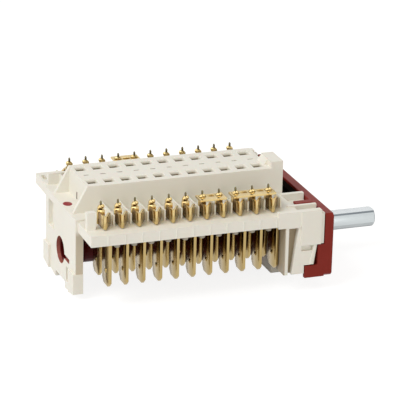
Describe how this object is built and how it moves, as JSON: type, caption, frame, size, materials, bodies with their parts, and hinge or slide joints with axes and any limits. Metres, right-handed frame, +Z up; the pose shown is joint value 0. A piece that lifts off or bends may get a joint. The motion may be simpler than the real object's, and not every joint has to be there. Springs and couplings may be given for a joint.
{
  "type": "rotary cam switch",
  "caption": "Rotary cam switch for an oven: a moulded housing with rows of push-on blade terminals on both sides, an inner camshaft and a metal spindle for a knob.",
  "frame": {"origin": "middle of the underside: centre of the bounding box in X and Y, lowest point in Z", "axes": "+X along the spindle towards its free end, +Y to the far row of terminals, +Z up; the spindle's axis runs along X, 9.9 mm above the underside"},
  "size_m": [0.0982, 0.0558, 0.0338],
  "materials": {
    "cream": "moulded",
    "red_brown": "moulded",
    "dark_red": "moulded",
    "black": "moulded",
    "brass": "stamped sheet",
    "zinc": "zinc plated",
    "steel": "spring strip"
  },
  "bodies": {
    "housing": {"housing": "cream", "front_plate": "red_brown", "near_outer_terminal_01": "brass", "near_outer_terminal_02": "brass", "near_outer_terminal_03": "brass", "near_outer_terminal_04": "brass", "near_outer_terminal_05": "brass", "near_outer_terminal_06": "brass", "near_outer_terminal_07": "brass", "near_outer_terminal_08": "brass", "near_outer_terminal_09": "brass", "near_outer_terminal_10": "brass", "near_outer_terminal_11": "brass", "near_inner_terminal_01": "brass", "near_inner_terminal_02": "brass", "near_inner_terminal_03": "brass", "near_inner_terminal_04": "brass", "near_inner_terminal_05": "brass", "near_inner_terminal_06": "brass", "near_inner_terminal_07": "brass", "near_inner_terminal_08": "brass", "near_inner_terminal_09": "brass", "near_inner_terminal_10": "brass", "near_inner_terminal_11": "brass", "far_outer_terminal_01": "brass", "far_outer_terminal_02": "brass", "far_outer_terminal_03": "brass", "far_outer_terminal_04": "brass", "far_outer_terminal_05": "brass", "far_outer_terminal_06": "brass", "far_outer_terminal_07": "brass", "far_outer_terminal_08": "brass", "far_outer_terminal_09": "brass", "far_outer_terminal_10": "brass", "far_outer_terminal_11": "brass", "far_inner_terminal_01": "brass", "far_inner_terminal_02": "brass", "far_inner_terminal_03": "brass", "far_inner_terminal_04": "brass", "far_inner_terminal_05": "brass", "far_inner_terminal_06": "brass", "far_inner_terminal_07": "brass", "far_inner_terminal_08": "brass", "far_inner_terminal_09": "brass", "far_inner_terminal_10": "brass", "far_inner_terminal_11": "brass", "near_bridge_2": "brass", "near_bridge_3": "brass", "far_bridge_2": "brass", "detent_spring": "steel", "detent_carrier": "black"},
    "rotor": {"camshaft": "dark_red", "spindle": "zinc"}
  },
  "joints": [
    {"name": "spindle_turn", "type": "hinge", "parent": "housing", "child": "rotor", "pos_m": [0, 0, 0.0099], "axis": [1, 0, 0], "continuous": true}
  ]
}
